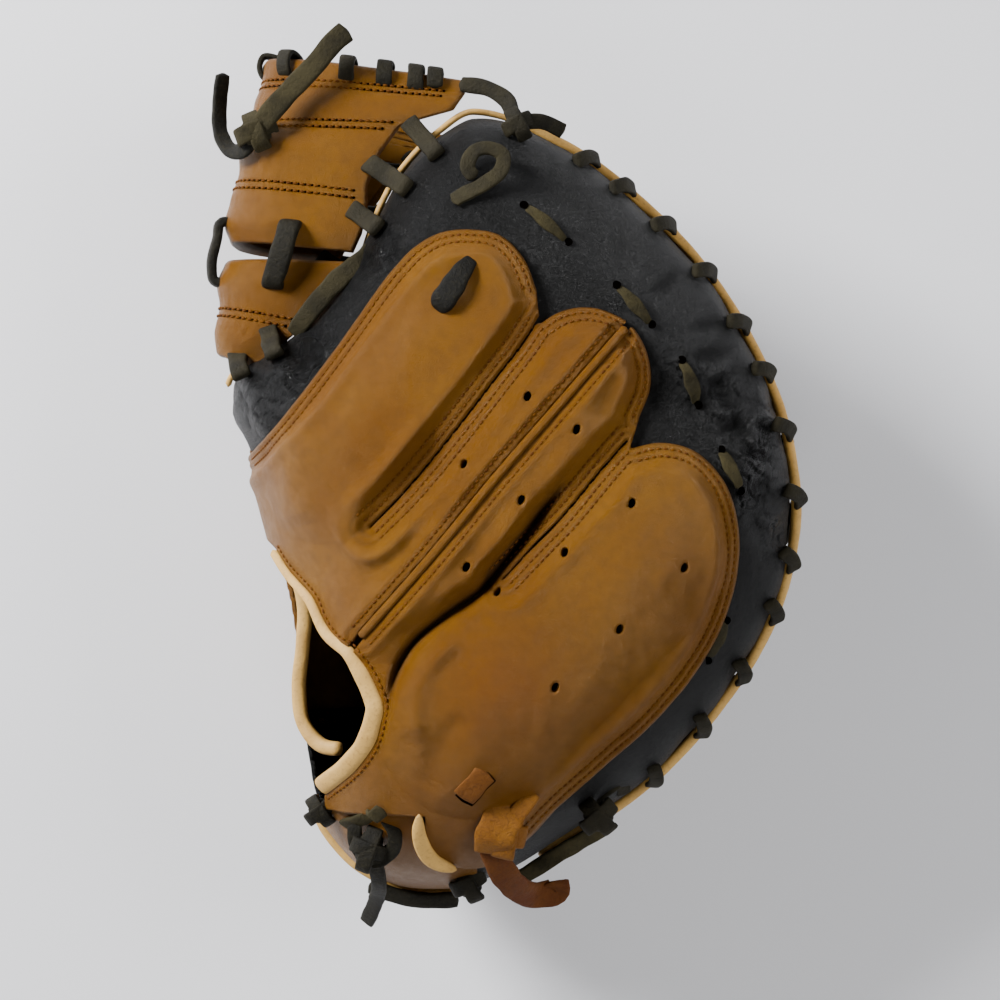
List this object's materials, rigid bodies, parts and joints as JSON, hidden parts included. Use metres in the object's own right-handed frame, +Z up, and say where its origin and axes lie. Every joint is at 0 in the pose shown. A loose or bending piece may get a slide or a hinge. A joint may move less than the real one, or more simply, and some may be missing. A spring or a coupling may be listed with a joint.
{
  "type": "catcher's mitt",
  "caption": "Padded leather catcher's mitt for the right hand, lying closed on its thumb side: laced rims, web, finger lobes, ball pocket and wrist opening.",
  "frame": {"origin": "under the middle of the mitt's outline, on the surface that it lies on", "axes": "+Z up, away from that surface; the fingers' back faces +Z, the finger tips and web are towards +Y, the heel is towards -Y, the ball pocket opens towards +X and the wrist opening towards -X"},
  "size_m": [0.2114, 0.3162, 0.1246],
  "materials": {
    "tan_leather": "soft sheen",
    "black_leather": "satin",
    "natural_leather": "matte",
    "lace_leather": "matte",
    "rawhide_strap": "matte"
  },
  "bodies": {
    "root": {"band_lace_1": "lace_leather", "band_lace_2": "lace_leather", "band_lace_3": "lace_leather", "band_lace_4": "lace_leather", "band_lace_5": "lace_leather", "curl_lace": "lace_leather", "finger_band": "black_leather", "finger_pad": "black_leather", "finger_piping": "natural_leather", "finger_rim_lace": "lace_leather", "fingertip_knot": "lace_leather", "flap_binding": "natural_leather", "heel_knot": "lace_leather", "heel_lace": "lace_leather", "heel_olive_lace": "lace_leather", "heel_panel": "tan_leather", "heel_piping": "natural_leather", "index_back": "tan_leather", "index_edge_lace": "lace_leather", "index_lobe_lace": "lace_leather", "little_back": "tan_leather", "lower_wrist_binding": "natural_leather", "padded_wall": "black_leather", "rim_knot": "lace_leather", "rim_olive_lace": "lace_leather", "seam_welt": "tan_leather", "strap": "rawhide_strap", "strap_slot": "rawhide_strap", "thumb_back": "tan_leather", "thumb_band": "black_leather", "thumb_pad": "black_leather", "thumb_piping": "natural_leather", "thumb_rim_lace": "lace_leather", "upper_wrist_binding": "natural_leather", "web_finger_lace": "lace_leather", "web_knot": "lace_leather", "web_loop_side": "lace_leather", "web_loop_top": "lace_leather", "web_lower": "tan_leather", "web_thumb_lace": "lace_leather", "web_top_lace": "lace_leather", "web_upper": "tan_leather", "wrist_knot": "lace_leather"}
  },
  "joints": []
}
